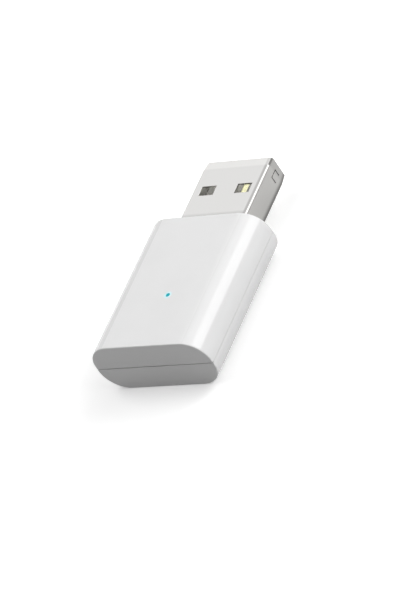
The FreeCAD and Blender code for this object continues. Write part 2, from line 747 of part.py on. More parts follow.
def leaded_chip(name, across, along, length, width, height, pitch, lead_width, left, right):
    """A moulded chip under the board with rows of gull-wing leads; left and right are the leads a side."""
    body = body_named(name)
    foot = "2 * lead_gauge"
    base = f"({BOARD_BASE} - {height})"
    plan = sketch_on(body, "XY_Plane", base, "plan")
    outline(plan, [f"{across} - {width} / 2", f"{along} + {length} / 2", f"{across} + {width} / 2",
                   f"{along} - {length} / 2"])
    pad(plan, f"{height} - {foot}")
    waist = f"({BOARD_BASE} - ({height} + {foot}) / 2)"
    for side, count in ((-1, left), (1, right)):
        start = f"({along} + ({count} - 1) * {pitch} / 2 + {lead_width} / 2)"
        lead = sketch_on(body, "XZ_Plane", start, f"lead_{'left' if side < 0 else 'right'}")
        root = f"{across} + {side} * ({width} / 2 - lead_gauge)"
        knee = f"{across} + {side} * ({width} / 2 + lead_reach - lead_foot)"
        toe = f"{across} + {side} * ({width} / 2 + lead_reach)"
        thin = f"{side} * lead_gauge"
        polygon(lead, [(root, waist), (f"{knee} + {thin} / 2", waist),
                       (f"{knee} + {thin} / 2", f"{BOARD_BASE} - lead_gauge"),
                       (toe, f"{BOARD_BASE} - lead_gauge"), (toe, BOARD_BASE),
                       (f"{knee} - {thin} / 2", BOARD_BASE),
                       (f"{knee} - {thin} / 2", f"{waist} + lead_gauge"),
                       (root, f"{waist} + lead_gauge")])
        first = pad(lead, lead_width, back=True)
        if count > 1:
            first.Reversed = True
            row = repeated(body, "LinearPattern", [first], "Y_Axis", f"({count} - 1) * {pitch}", count)
            row.Reversed = True
    return body


def end_capped(name, across, along, length, width, height, upper=True, turned=False):
    """A ceramic chip between two soldered end caps, lying across the stick, or along it if turned."""
    base = BOARD_TOP if upper else f"({BOARD_BASE} - {height})"
    pieces = []
    spans = {"core": (f"-{length} / 2 + chip_cap / 2", f"{length} / 2 - chip_cap / 2", "cap_proud"),
             "cap_low": (f"-{length} / 2", f"-{length} / 2 + chip_cap", "0"),
             "cap_high": (f"{length} / 2 - chip_cap", f"{length} / 2", "0")}
    for part, (start, end, inset) in spans.items():
        sides = (f"-{width} / 2 + {inset}", f"{width} / 2 - {inset}")
        low = (sides[0], start) if turned else (start, sides[0])
        high = (sides[1], end) if turned else (end, sides[1])
        first = (f"{across} + {low[0]}", f"{along} + {low[1]}", f"{base} + {inset}")
        last = (f"{across} + {high[0]}", f"{along} + {high[1]}", f"{base} + {height} - {inset}")
        pieces.append(block(f"{name}_{part}", first, last))
    return fused(name, pieces)


def crystal(across, along):
    """A ceramic tray with a seam-welded lid."""
    place = (across, along)
    tray = on_board("crystal_tray", *place, "crystal_width", "crystal_length", "crystal_tray_height")
    lid = on_board("crystal_lid", *place, "(crystal_width - 2 * crystal_lid_inset)",
                   "(crystal_length - 2 * crystal_lid_inset)", "crystal_height")
    return fused("crystal", [tray, lid])


def power_inductor(across, along):
    """A wound core in a square ferrite sleeve with round corners, and a round well in its face."""
    body = body_named("power_inductor")
    plan = sketch_on(body, "XY_Plane", f"({BOARD_BASE} - inductor_height)", "plan")
    half = "inductor_size / 2"
    outline(plan, [f"{across} - {half}", f"{along} + {half}", f"{across} + {half}", f"{along} - {half}"],
            dict.fromkeys(range(4), "inductor_round"))
    pad(plan, "inductor_height")
    well = sketch_on(body, "XY_Plane", f"({BOARD_BASE} - inductor_height)", "well")
    circle(well, across, along, "well_radius")
    circle(well, across, along, "core_radius")
    pocket(well, "well_depth", back=True)
    return body


def status_led():
    """A side-capped lamp: two plated ends on a white base, with a lens of clear resin on top."""
    place = ("light_across", LIGHT_Y)
    base = on_board("status_led_base", *place, "led_length", "led_width", "led_base_height")
    lens = on_board("status_led_lens", *place, "led_lens_length", "led_width", "led_height")
    return fused("status_led", [base, lens])


def board_parts():
    can_middle = f"(({CAN_NEAR} + {CAN_FAR}) / 2)"
    antenna_y = f"({BOARD_NEAR} + antenna_setback)"
    matching_y = f"({BOARD_NEAR} + matching_setback)"
    small = ("small_chip_length", "small_chip_width", "small_chip_height")
    big = ("big_chip_length", "big_chip_width", "big_chip_height")
    antenna = ("antenna_length", "antenna_width", "antenna_height")
    regulator = ("regulator_length", "regulator_width", "regulator_height")
    transistor = ("transistor_lead_pitch", "transistor_lead_width")
    big_y = f"({BOARD_EDGE} - big_chip_setback)"
    return [
        radio_shield_can(),
        flat_chip("radio_chip", "-radio_offset", can_middle, "radio_size", "radio_size", "radio_height"),
        crystal("crystal_offset", can_middle),
        status_led(),
        end_capped("led_resistor", "(light_across + led_length)", LIGHT_Y, *small, turned=True),
        end_capped("antenna_left", f"(-1 * {ANTENNA_X})", antenna_y, *antenna),
        end_capped("antenna_right", ANTENNA_X, antenna_y, *antenna),
        end_capped("matching_capacitor_left", f"(-1 * {ANTENNA_X})", matching_y, *small, turned=True),
        end_capped("matching_capacitor_right", ANTENNA_X, matching_y, *small, turned=True),
        leaded_chip("memory_chip", "0", f"({BOARD_NEAR} + memory_setback)", "memory_length", "memory_width",
                    "memory_height", "memory_lead_pitch", "memory_lead_width",
                    MEMORY_LEAD_COUNT, MEMORY_LEAD_COUNT),
        leaded_chip("voltage_regulator", "(-1 * regulator_spread)", f"({BOARD_EDGE} - regulator_setback)",
                    *regulator, *transistor, 3, 2),
        leaded_chip("surge_diodes", "0", f"({BOARD_EDGE} - surge_setback)", *regulator, *transistor, 3, 3),
        power_inductor("inductor_spread", f"({BOARD_EDGE} - inductor_setback)"),
        end_capped("input_capacitor", "-big_chip_spread", big_y, *big, upper=False),
        end_capped("output_capacitor", "big_chip_spread", big_y, *big, upper=False),
    ]


parts = [upper_shell(), lower_shell(), light_pipe(), plug_shell(), plug_insulator()]
parts += [contact(name, across, setback) for name, (across, setback) in CONTACTS.items()]
parts += [main_board()] + board_parts()
doc.recompute()

for item in doc.Objects:
    if {"Invalid", "Error"} & set(item.State):
        raise RuntimeError(f"{item.Name} failed: {item.State}")
    if item.TypeId in ("PartDesign::Pocket", "PartDesign::SubtractiveLoft"):
        before = item.BaseFeature.Shape.Volume
        if item.Shape.Volume > before - TOLERANCE:
            raise RuntimeError(f"{item.Name} cuts nothing")
for part in parts:
    if part.Shape.isNull() or not part.Shape.isValid() or len(part.Shape.Solids) != 1:
        raise RuntimeError(f"{part.Label} isn't one sound solid")

os.makedirs("parts", exist_ok=True)
for part in parts:
    part.Shape.exportStep(f"parts/{part.Label}.step")
    print(f"{part.Label}: {part.Shape.Volume:.2f} mm3")
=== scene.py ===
import math
import bpy
from mathutils import Matrix, Vector


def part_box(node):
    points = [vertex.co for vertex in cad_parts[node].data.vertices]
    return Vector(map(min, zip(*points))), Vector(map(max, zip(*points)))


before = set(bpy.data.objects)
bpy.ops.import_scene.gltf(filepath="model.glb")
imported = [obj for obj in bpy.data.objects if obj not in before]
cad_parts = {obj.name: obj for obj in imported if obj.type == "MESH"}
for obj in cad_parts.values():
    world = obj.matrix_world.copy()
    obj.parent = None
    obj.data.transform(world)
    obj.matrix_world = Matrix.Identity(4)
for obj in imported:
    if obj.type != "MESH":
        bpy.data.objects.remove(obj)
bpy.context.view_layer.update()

# Circuit board: 0.8 mm of woven glass and epoxy under green lacquer, with copper tracks that show through it
# as lighter lines. It lies on ribs in the lower shell, and the plug's two legs are soldered through it.

MM = 0.001
LACQUER = (0.01, 0.1, 0.04)
LACQUER_OVER_COPPER = (0.025, 0.19, 0.065)
GLASS_EPOXY = (0.4, 0.36, 0.2)
VIA_GOLD = (0.75, 0.55, 0.25)
TRACK_PITCH = 0.9 * MM
TRACK_SHARE = 0.3
TRACK_PATCH = 3.5 * MM
SOLID_COPPER_SHARE = 0.15
VIA_SPACING = 2.2 * MM
VIA_REACH = 0.1
WEAVE_PITCH = 0.45 * MM


def placed(tree, kind, inputs=None, **settings):
    """A node of that kind in the tree. An input is a plain value, or the socket that feeds it."""
    made = tree.nodes.new(kind)
    for name, value in settings.items():
        setattr(made, name, value)
    for name, value in (inputs or {}).items():
        if isinstance(value, bpy.types.NodeSocket):
            tree.links.new(value, made.inputs[name])
        else:
            made.inputs[name].default_value = value
    return made


def sum_of(tree, operation, first, second=0.0, third=0.0):
    """One step of arithmetic on values."""
    inputs = {0: first, 1: second, 2: third}
    return placed(tree, "ShaderNodeMath", inputs, operation=operation).outputs[0]


def vector_sum(tree, operation, first, second=(0, 0, 0)):
    """One step of arithmetic on vectors; a dot product and a length come out as a value."""
    made = placed(tree, "ShaderNodeVectorMath", {0: first, 1: second}, operation=operation)
    return made.outputs["Value" if operation in ("DOT_PRODUCT", "LENGTH") else "Vector"]


def rising(tree, value, low, high):
    """0 up to the low value and 1 from the high one, with a smooth rise between them."""
    inputs = {"Value": value, "From Min": low, "From Max": high}
    return placed(tree, "ShaderNodeMapRange", inputs, interpolation_type="SMOOTHSTEP").outputs["Result"]


def blended(tree, share, first, second):
    """A colour between two others."""
    inputs = {0: share, 6: first, 7: second}
    return placed(tree, "ShaderNodeMix", inputs, data_type="RGBA").outputs[2]


def stick_place(tree):
    """Where a point of the surface is in the stick's own frame, in metres."""
    return placed(tree, "ShaderNodeTexCoord").outputs["Object"]


def facing(tree):
    """Which way the surface faces."""
    return placed(tree, "ShaderNodeNewGeometry").outputs["Normal"]


def opaque(colour):
    return (*colour, 1.0)


def shaded(colour, share):
    """The same colour, darker where the share is under 1 and paler where it is over."""
    return opaque([share * part for part in colour])


def new_effect(name, inputs, outputs):
    """An empty node group with named sockets, and its input and output nodes."""
    group = bpy.data.node_groups.new(name, "ShaderNodeTree")
    for label, kind, value in inputs:
        socket = group.interface.new_socket(label, in_out="INPUT", socket_type=f"NodeSocket{kind}")
        socket.default_value = value
    for label, kind in outputs:
        group.interface.new_socket(label, in_out="OUTPUT", socket_type=f"NodeSocket{kind}")
    return group, group.nodes.new("NodeGroupInput"), group.nodes.new("NodeGroupOutput")


def with_effect(tree, group, **inputs):
    """The group's node in a material, with that material's own values; a socket's name has _ for a space."""
    made = tree.nodes.new("ShaderNodeGroup")
    made.node_tree = group
    for name, value in inputs.items():
        socket = made.inputs[name.replace("_", " ")]
        if isinstance(value, bpy.types.NodeSocket):
            tree.links.new(value, socket)
        else:
            socket.default_value = value
    return made.outputs


def new_finish(name, **sockets):
    """A material whose Principled shader has those plain values; a socket's name has _ for a space."""
    finish = bpy.data.materials.new(name)
    finish.use_nodes = True
    shader = finish.node_tree.nodes["Principled BSDF"]
    for socket, value in sockets.items():
        shader.inputs[socket.replace("_", " ")].default_value = value
    return finish, finish.node_tree, shader


def fed(tree, shader, **sockets):
    """Join each named socket of the shader to what feeds it."""
    for socket, source in sockets.items():
        tree.links.new(source, shader.inputs[socket.replace("_", " ")])


def bumped(tree, height, depth, normal=None):
    """A surface normal that follows a height of 0 to 1 over that depth."""
    inputs = {"Height": height, "Distance": depth}
    if normal is not None:
        inputs["Normal"] = normal
    return placed(tree, "ShaderNodeBump", inputs).outputs["Normal"]


def dress(finish, *nodes):
    for node in nodes:
        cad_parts[node].material_slots[0].material = finish


def fine_grain_effect():
    """Grain for moulded, rolled and fired surfaces: a fine height, and a slow cloud for colour and gloss."""
    inputs = [("Grain Size", "Float", 0.2 * MM), ("Stretch", "Vector", (1, 1, 1)),
              ("Cloud Size", "Float", 4 * MM)]
    outputs = [("Height", "Float"), ("Cloud", "Float")]
    group, given, made = new_effect("fine_grain", inputs, outputs)
    place = vector_sum(group, "MULTIPLY", stick_place(group), given.outputs["Stretch"])
    fine = sum_of(group, "DIVIDE", 1.0, given.outputs["Grain Size"])
    slow = sum_of(group, "DIVIDE", 1.0, given.outputs["Cloud Size"])
    grain = placed(group, "ShaderNodeTexNoise", {"Vector": place, "Scale": fine, "Detail": 3.0})
    cloud = placed(group, "ShaderNodeTexNoise", {"Vector": stick_place(group), "Scale": slow, "Detail": 2.0})
    group.links.new(grain.outputs["Fac"], made.inputs["Height"])
    group.links.new(cloud.outputs["Fac"], made.inputs["Cloud"])
    return group


def soft_edge_effect():
    """A worn edge: the normal turns round a sharp edge over a small radius, and Edge is 1 along it."""
    group, given, made = new_effect("soft_edge", [("Radius", "Float", 0.05 * MM)],
                                    [("Normal", "Vector"), ("Edge", "Float")])
    bevel = placed(group, "ShaderNodeBevel", {"Radius": given.outputs["Radius"]}, samples=6)
    turned = bevel.outputs["Normal"]
    agreement = vector_sum(group, "DOT_PRODUCT", turned, facing(group))
    edge = rising(group, sum_of(group, "SUBTRACT", 1.0, agreement), 0.01, 0.2)
    group.links.new(turned, made.inputs["Normal"])
    group.links.new(edge, made.inputs["Edge"])
    return group


fine_grain = fine_grain_effect()
soft_edge = soft_edge_effect()


def track_lines(tree, along_axis):
    """Parallel lines of copper across one axis, one pitch apart."""
    steps = sum_of(tree, "DIVIDE", along_axis, TRACK_PITCH)
    from_middle = sum_of(tree, "ABSOLUTE", sum_of(tree, "SUBTRACT", sum_of(tree, "FRACT", steps), 0.5))
    return sum_of(tree, "LESS_THAN", from_middle, TRACK_SHARE / 2)


def lacquered_board():
    finish, tree, shader = new_finish("lacquered_board", Roughness=0.35, Coat_Weight=0.3)
    place = stick_place(tree)
    axes = placed(tree, "ShaderNodeSeparateXYZ", {0: place}).outputs
    patches = placed(tree, "ShaderNodeTexVoronoi", {"Vector": place, "Scale": 1 / TRACK_PATCH},
                     distance="CHEBYCHEV")
    patch = placed(tree, "ShaderNodeSeparateColor", {0: patches.outputs["Color"]}).outputs
    lengthwise = sum_of(tree, "GREATER_THAN", patch["Red"], 0.5)
    filled = sum_of(tree, "GREATER_THAN", patch["Green"], 1 - SOLID_COPPER_SHARE)
    across = track_lines(tree, axes["X"])
    along = track_lines(tree, axes["Y"])
    lines = placed(tree, "ShaderNodeMix", {0: lengthwise, 2: along, 3: across}).outputs[0]
    copper = sum_of(tree, "MAXIMUM", lines, filled)
    vias = placed(tree, "ShaderNodeTexVoronoi", {"Vector": place, "Scale": 1 / VIA_SPACING})
    via = sum_of(tree, "LESS_THAN", vias.outputs["Distance"], VIA_REACH)
    up = vector_sum(tree, "DOT_PRODUCT", facing(tree), (0, 0, 1))
    routed_edge = sum_of(tree, "LESS_THAN", sum_of(tree, "ABSOLUTE", up), 0.5)
    weave = placed(tree, "ShaderNodeTexWave", {"Vector": place, "Scale": 1 / WEAVE_PITCH / math.tau,
                                               "Distortion": 1.5}, bands_direction="DIAGONAL")
    lacquer = blended(tree, copper, opaque(LACQUER), opaque(LACQUER_OVER_COPPER))
    face = blended(tree, via, lacquer, opaque(VIA_GOLD))
    glass = blended(tree, weave.outputs["Fac"], opaque(GLASS_EPOXY), shaded(GLASS_EPOXY, 0.7))
    height = sum_of(tree, "ADD", sum_of(tree, "MULTIPLY", copper, 0.8), sum_of(tree, "MULTIPLY", via, 0.2))
    fed(tree, shader, Base_Color=blended(tree, routed_edge, face, glass),
        Metallic=sum_of(tree, "MULTIPLY", via, sum_of(tree, "SUBTRACT", 1.0, routed_edge)),
        Normal=bumped(tree, height, 0.03 * MM))
    return finish


dress(lacquered_board(), "main_board")

# Chips: the radio chip without leads under its can, and on the lower side the memory, the voltage regulator
# and the surge diodes with bent tinned leads. Each is black filled resin, moulded round its lead frame.

RESIN = (0.022, 0.022, 0.024)
RESIN_FILLER = (0.07, 0.07, 0.075)
TIN = (0.7, 0.7, 0.68)
LEAD_REACH = 0.65 * MM
PIN_ONE_RADIUS = 0.22 * MM
PIN_ONE_INSET = 0.6 * MM


def moulded_chip(name, leads, upper):
    """Leads are outside the resin across the stick; the pin mark is a dimple by the first corner."""
    finish, tree, shader = new_finish(f"{name}_resin")
    low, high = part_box(name)
    place = stick_place(tree)
    middle = (low + high) / 2
    reach = (high.x - low.x) / 2 - (LEAD_REACH if leads else 0)
    across = vector_sum(tree, "DOT_PRODUCT", vector_sum(tree, "SUBTRACT", place, middle), (1, 0, 0))
    beyond = sum_of(tree, "SUBTRACT", sum_of(tree, "ABSOLUTE", across), reach)
    lead = sum_of(tree, "GREATER_THAN", beyond, 0.02 * MM if leads else MM)
    grain = with_effect(tree, fine_grain, Grain_Size=0.12 * MM, Cloud_Size=2 * MM)
    mark = Vector((middle.x - reach + PIN_ONE_INSET, low.y + PIN_ONE_INSET, high.z if upper else low.z))
    from_mark = vector_sum(tree, "LENGTH", vector_sum(tree, "SUBTRACT", place, mark))
    dimple = sum_of(tree, "SUBTRACT", 1.0, rising(tree, from_mark, 0.7 * PIN_ONE_RADIUS, PIN_ONE_RADIUS))
    resin = blended(tree, rising(tree, grain["Height"], 0.58, 0.72), opaque(RESIN), opaque(RESIN_FILLER))
    height = sum_of(tree, "SUBTRACT", sum_of(tree, "MULTIPLY", grain["Height"], 0.3), dimple)
    roughness = sum_of(tree, "SUBTRACT", 0.62, sum_of(tree, "MULTIPLY", dimple, 0.3))
    fed(tree, shader, Base_Color=blended(tree, lead, resin, opaque(TIN)), Metallic=lead,
        Roughness=sum_of(tree, "SUBTRACT", roughness, sum_of(tree, "MULTIPLY", lead, 0.3)),
        Normal=bumped(tree, height, 0.03 * MM))
    dress(finish, name)


moulded_chip("radio_chip", leads=False, upper=True)
for chip in ("memory_chip", "voltage_regulator", "surge_diodes"):
    moulded_chip(chip, leads=True, upper=False)

# Shield can: drawn from thin tinned steel and soldered over the radio chip and the crystal, with five vents.
# The crystal beside the chip is a ceramic tray closed by a welded lid of the same pale metal.

TARNISH = (0.5, 0.48, 0.44)
CERAMIC_TRAY = (0.2, 0.17, 0.15)
CRYSTAL_TRAY_HEIGHT = 0.5 * MM


def tinned_steel():
    finish, tree, shader = new_finish("tinned_steel", Metallic=1.0)
    grain = with_effect(tree, fine_grain, Grain_Size=0.15 * MM, Stretch=(0.15, 1, 1), Cloud_Size=2.5 * MM)
    edge = with_effect(tree, soft_edge, Radius=0.06 * MM)
    stain = rising(tree, grain["Cloud"], 0.45, 0.75)
    roughness = sum_of(tree, "ADD", 0.28, sum_of(tree, "MULTIPLY", grain["Cloud"], 0.2))
    fed(tree, shader, Base_Color=blended(tree, stain, opaque(TIN), opaque(TARNISH)), Roughness=roughness,
        Normal=bumped(tree, grain["Height"], 0.004 * MM, edge["Normal"]))
    return finish


def lidded_crystal():
    finish, tree, shader = new_finish("lidded_crystal")
    low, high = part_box("crystal")
    height = vector_sum(tree, "DOT_PRODUCT", stick_place(tree), (0, 0, 1))
    lid = sum_of(tree, "GREATER_THAN", height, low.z + 1.02 * CRYSTAL_TRAY_HEIGHT)
    grain = with_effect(tree, fine_grain, Grain_Size=0.1 * MM, Cloud_Size=1.5 * MM)
    edge = with_effect(tree, soft_edge, Radius=0.08 * MM)
    tray = blended(tree, grain["Cloud"], opaque(CERAMIC_TRAY), shaded(CERAMIC_TRAY, 0.7))
    fed(tree, shader, Base_Color=blended(tree, lid, tray, opaque(TIN)), Metallic=lid,
        Roughness=sum_of(tree, "SUBTRACT", 0.6, sum_of(tree, "MULTIPLY", lid, 0.3)),
        Normal=bumped(tree, grain["Height"], 0.006 * MM, edge["Normal"]))
    return finish


dress(tinned_steel(), "radio_shield_can")
dress(lidded_crystal(), "crystal")

# Chip capacitors, the lamp's resistor and the two chip antennas: blocks of fired ceramic whose ends are
# dipped in silver and tinned, so that they solder to the board. The resistor has black glass over its film,
# and the antennas have a silver meander printed on top.

CAPACITOR_CERAMIC = (0.42, 0.29, 0.17)
RESISTOR_GLASS = (0.02, 0.02, 0.025)
ANTENNA_CERAMIC = (0.72, 0.76, 0.8)
CAP_REACH = 0.25 * MM
MEANDER_PITCH = 0.55 * MM
MEANDER_SHARE = 0.4
CAPACITORS = ("input_capacitor", "output_capacitor", "matching_capacitor_left", "matching_capacitor_right")


def tinned_ends_effect():
    """Tin is 1 past a distance from the middle along an axis, with the ragged edge of a dipped end."""
    inputs = [("Middle", "Vector", (0, 0, 0)), ("Along", "Vector", (1, 0, 0)), ("Bare Reach", "Float", MM)]
    group, given, made = new_effect("tinned_ends", inputs, [("Tin", "Float")])
    place = stick_place(group)
    off = vector_sum(group, "SUBTRACT", place, given.outputs["Middle"])
    along = sum_of(group, "ABSOLUTE", vector_sum(group, "DOT_PRODUCT", off, given.outputs["Along"]))
    ragged = placed(group, "ShaderNodeTexNoise", {"Vector": place, "Scale": 1 / (0.3 * MM)}).outputs["Fac"]
    wander = sum_of(group, "MULTIPLY", sum_of(group, "SUBTRACT", ragged, 0.5), 0.08 * MM)
    beyond = sum_of(group, "SUBTRACT", sum_of(group, "ADD", along, wander), given.outputs["Bare Reach"])
    group.links.new(rising(group, beyond, -0.01 * MM, 0.01 * MM), made.inputs["Tin"])
    return group


tinned_ends = tinned_ends_effect()


def dipped_ceramic(name, ceramic, meander=False):
    finish, tree, shader = new_finish(f"{name}_ceramic")
    low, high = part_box(name)
    size = high - low
    lengthwise = size.y > size.x
    reach = max(size.x, size.y) / 2 - CAP_REACH
    tin = with_effect(tree, tinned_ends, Middle=(low + high) / 2, Bare_Reach=reach,
                      Along=(0, 1, 0) if lengthwise else (1, 0, 0))["Tin"]
    grain = with_effect(tree, fine_grain, Grain_Size=0.08 * MM, Cloud_Size=0.6 * MM)
    fired = blended(tree, grain["Cloud"], opaque(ceramic), shaded(ceramic, 0.75))
    if meander:
        axes = placed(tree, "ShaderNodeSeparateXYZ", {0: stick_place(tree)}).outputs
        turn = sum_of(tree, "FRACT", sum_of(tree, "DIVIDE", axes["X"], MEANDER_PITCH))
        line = sum_of(tree, "LESS_THAN", turn, MEANDER_SHARE)
        on_top = vector_sum(tree, "DOT_PRODUCT", facing(tree), (0, 0, 1))
        printed = sum_of(tree, "MULTIPLY", line, sum_of(tree, "GREATER_THAN", on_top, 0.7))
        tin = sum_of(tree, "MAXIMUM", tin, printed)
    fed(tree, shader, Base_Color=blended(tree, tin, fired, opaque(TIN)), Metallic=tin,
        Roughness=sum_of(tree, "SUBTRACT", 0.5, sum_of(tree, "MULTIPLY", tin, 0.2)),
        Normal=bumped(tree, sum_of(tree, "ADD", grain["Height"], tin), 0.01 * MM))
    dress(finish, name)


for capacitor in CAPACITORS:
    dipped_ceramic(capacitor, CAPACITOR_CERAMIC)
dipped_ceramic("led_resistor", RESISTOR_GLASS)
dipped_ceramic("antenna_left", ANTENNA_CERAMIC, meander=True)
dipped_ceramic("antenna_right", ANTENNA_CERAMIC, meander=True)

# Power inductor: a bobbin of dark fired ferrite in a square sleeve of the same, and enamelled copper wire
# that shows in the round well of its face. It is soldered under the board beside the voltage regulator.

FERRITE = (0.055, 0.055, 0.06)
ENAMELLED_COPPER = (0.55, 0.2, 0.07)
WELL_RADIUS = 0.9 * MM
CORE_RADIUS = 0.68 * MM
WIRE_PITCH = 0.11 * MM


def wound_ferrite():
    finish, tree, shader = new_finish("wound_ferrite")
    low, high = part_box("power_inductor")
    off = vector_sum(tree, "SUBTRACT", stick_place(tree), (low + high) / 2)
    radius = vector_sum(tree, "LENGTH", vector_sum(tree, "MULTIPLY", off, (1, 1, 0)))
    height = vector_sum(tree, "DOT_PRODUCT", off, (0, 0, 1))
    in_well = sum_of(tree, "MULTIPLY", sum_of(tree, "LESS_THAN", radius, WELL_RADIUS - 0.01 * MM),
                     sum_of(tree, "GREATER_THAN", radius, CORE_RADIUS + 0.01 * MM))
    sunk = sum_of(tree, "GREATER_THAN", height, (low.z - high.z) / 2 + 0.05 * MM)
    wire = sum_of(tree, "MULTIPLY", in_well, sunk)
    turns = sum_of(tree, "SINE", sum_of(tree, "MULTIPLY", radius, math.tau / WIRE_PITCH))
    grain = with_effect(tree, fine_grain, Grain_Size=0.1 * MM, Cloud_Size=1.2 * MM)
    edge = with_effect(tree, soft_edge, Radius=0.1 * MM)
    fired = blended(tree, grain["Height"], opaque(FERRITE), shaded(FERRITE, 1.7))
    relief = placed(tree, "ShaderNodeMix", {0: wire, 2: grain["Height"], 3: turns}).outputs[0]
    fed(tree, shader, Base_Color=blended(tree, wire, fired, opaque(ENAMELLED_COPPER)), Metallic=wire,
        Roughness=sum_of(tree, "SUBTRACT", 0.6, sum_of(tree, "MULTIPLY", wire, 0.3)),
        Normal=bumped(tree, relief, 0.02 * MM, edge["Normal"]))
    return finish


dress(wound_ferrite(), "power_inductor")

# Status lamp: a white carrier with gold ends and a clear resin lens over a cyan die, soldered straight under
# the light pipe and lit.

CARRIER = (0.75, 0.74, 0.68)
LENS = (0.55, 0.6, 0.5)
LIT_CYAN = (0.02, 0.42, 0.5)
UNLIT = (0, 0, 0)
LAMP_BASE_HEIGHT = 0.3 * MM
LAMP_END = 0.28 * MM


def lit_lamp():
    finish, tree, shader = new_finish("lit_lamp", Roughness=0.3, Emission_Strength=1.5)
    low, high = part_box("status_led")
    middle = (low + high) / 2
    off = vector_sum(tree, "SUBTRACT", stick_place(tree), middle)
    height = vector_sum(tree, "DOT_PRODUCT", off, (0, 0, 1))
    lens = sum_of(tree, "GREATER_THAN", height, low.z + 1.05 * LAMP_BASE_HEIGHT - middle.z)
    ends = with_effect(tree, tinned_ends, Middle=middle, Along=(1, 0, 0),
                       Bare_Reach=(high.x - low.x) / 2 - LAMP_END)["Tin"]
    from_die = vector_sum(tree, "LENGTH", vector_sum(tree, "MULTIPLY", off, (1, 1, 0)))
    glow = sum_of(tree, "SUBTRACT", 1.0, rising(tree, from_die, 0.1 * MM, 0.55 * MM))
    grain = with_effect(tree, fine_grain, Grain_Size=0.1 * MM, Cloud_Size=0.5 * MM)
    carrier = blended(tree, ends, opaque(CARRIER), opaque(VIA_GOLD))
    fed(tree, shader, Base_Color=blended(tree, lens, carrier, opaque(LENS)), Metallic=ends,
        Emission_Color=blended(tree, sum_of(tree, "MULTIPLY", glow, lens), opaque(UNLIT), opaque(LIT_CYAN)),
        Normal=bumped(tree, grain["Height"], 0.005 * MM))
    return finish


dress(lit_lamp(), "status_led")

# Plug insulator: one moulding of pale grey heat-proof resin that fills the back of the plug and reaches
# forward as the tongue. The four contacts lie in grooves in the tongue, a little below its face.

INSULATOR = (0.92, 0.91, 0.87)


def grey_resin():
    finish, tree, shader = new_finish("grey_resin")
    grain = with_effect(tree, fine_grain, Grain_Size=0.18 * MM, Stretch=(1, 0.4, 1), Cloud_Size=3 * MM)
    edge = with_effect(tree, soft_edge, Radius=0.06 * MM)
    flow = rising(tree, grain["Cloud"], 0.35, 0.75)
    fed(tree, shader, Base_Color=blended(tree, flow, opaque(INSULATOR), shaded(INSULATOR, 0.9)),
        Roughness=sum_of(tree, "ADD", 0.5, sum_of(tree, "MULTIPLY", grain["Height"], 0.15)),
        Normal=bumped(tree, grain["Height"], 0.01 * MM, edge["Normal"]))
    return finish


dress(grey_resin(), "plug_insulator")

# Contacts: four strips stamped from copper alloy, gilded over nickel, with a coined front end. They are
# pushed into the insulator from behind, and their tails are soldered to the edge of the board.

GILT = (0.98, 0.965, 0.63)
BARE_NICKEL = (0.66, 0.62, 0.54)
GILT_LENGTH = 9.0 * MM


def gilt_strip():
    """Gilded where the socket's springs rub, and plain nickel towards the tail."""
    finish, tree, shader = new_finish("gilt_strip", Metallic=1.0)
    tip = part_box("contact_vbus")[1].y
    along = vector_sum(tree, "DOT_PRODUCT", stick_place(tree), (0, 1, 0))
    gilded = rising(tree, along, tip - GILT_LENGTH, tip - GILT_LENGTH + 0.4 * MM)
    grain = with_effect(tree, fine_grain, Grain_Size=0.1 * MM, Stretch=(1, 0.06, 1), Cloud_Size=1.5 * MM)
    edge = with_effect(tree, soft_edge, Radius=0.05 * MM)
    plated = blended(tree, gilded, opaque(BARE_NICKEL), opaque(GILT))
    roughness = sum_of(tree, "ADD", 0.16, sum_of(tree, "MULTIPLY", grain["Cloud"], 0.15))
    fed(tree, shader, Base_Color=plated, Roughness=roughness,
        Normal=bumped(tree, grain["Height"], 0.004 * MM, edge["Normal"]))
    return finish


dress(gilt_strip(), "contact_vbus", "contact_data_minus", "contact_data_plus", "contact_ground")

# Plug shell: a strip of 0.3 mm steel folded into a flat tube, its edges locked by a dovetail underneath,
# with windows and lanced tabs for the socket's springs. Bright nickel covers the fine lines of the rolling.

NICKEL = (0.75, 0.745, 0.735)
NICKEL_NOSE_PAINTED_HIGHLIGHT = (0.81, 0.805, 0.79)
FOLD_PAINTED_SHADE = (0.5, 0.495, 0.485)
FOLD_PAINTED_DEEP_SHADE = (0.2, 0.198, 0.192)
NOSE_FOLD_PAINTED_SHADE = (0.66, 0.655, 0.645)
SIDE_WALL_PAINTED_SHADE = (0.395, 0.39, 0.38)
NOSE_SIDE_PAINTED_SHADE = (0.34, 0.336, 0.328)
FOOT_PAINTED_SHADE = (0.1, 0.1, 0.095)
HOUSING_PAINTED_SHADOW = (0.4, 0.395, 0.39)
CUT_STEEL_AND_SHADE = (0.2, 0.195, 0.185)
PLUG_HALF_WIDTH = 6.0 * MM
FOLD_RADIUS = 0.5 * MM
FOOT_SHADE_SPAN = (0.25 * MM, 1.25 * MM)
NOSE_LENGTH = 1.5 * MM
NOSE_DROP = 0.12 * MM
NOSE_PAINTED_SPAN = (1.2 * NOSE_LENGTH, 0.84 * NOSE_LENGTH)
HOUSING_SHADOW_SPAN = (1.3 * MM, 2.7 * MM)

# Places round a fold, counted in fold radii in from the side wall: where a painted shade starts and where it
# is full.
FOLD_SHADE_STARTS = (1.9, 1.15)
FOLD_DARKENS = (0.42, 0.28)
SIDE_STARTS = (0.23, 0.05)
LEFT_FOLD_NARROWER = 0.9
NOSE_FOLD_NARROWER = 0.25

CUT_EDGE_SHARE = 0.5
CUT_EDGE_LESS_ON_SIDES = 0.4
RIM_FACING = (0.5, 0.8)


